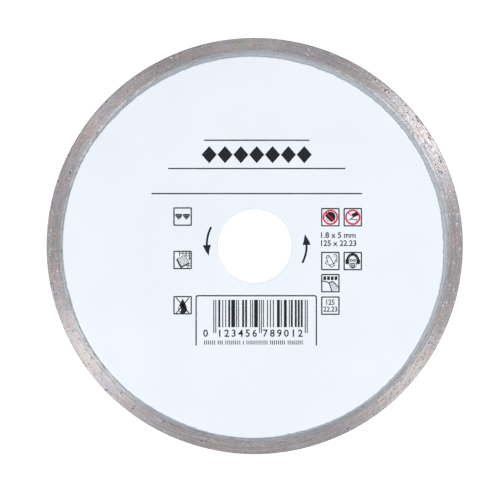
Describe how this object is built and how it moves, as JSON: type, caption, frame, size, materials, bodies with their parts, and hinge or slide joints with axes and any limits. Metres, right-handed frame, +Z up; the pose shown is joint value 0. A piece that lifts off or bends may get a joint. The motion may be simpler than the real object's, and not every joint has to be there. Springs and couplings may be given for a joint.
{
  "type": "diamond blade",
  "caption": "Round continuous-rim diamond blade for cutting tile on an angle grinder: white enamelled steel core, sintered diamond rim and a central arbor bore.",
  "frame": {"origin": "centre of the arbor bore, half way through the steel core's thickness", "axes": "+Y along the arbor axis, away from the printed front face, which looks towards -Y; +Z up as the print is read, +X to the right of the print"},
  "size_m": [0.125, 0.0018, 0.125],
  "materials": {
    "core_steel": "satin",
    "sintered_base": "satin",
    "sintered_diamond": "matte",
    "white_enamel": "satin",
    "black_ink": "satin",
    "red_ink": "satin",
    "diamond_crystal": "gloss"
  },
  "bodies": {
    "root": {"steel_core": "core_steel", "base_ring": "sintered_base", "diamond_rim": "sintered_diamond", "front_coat": "white_enamel", "back_coat": "white_enamel"}
  },
  "joints": []
}
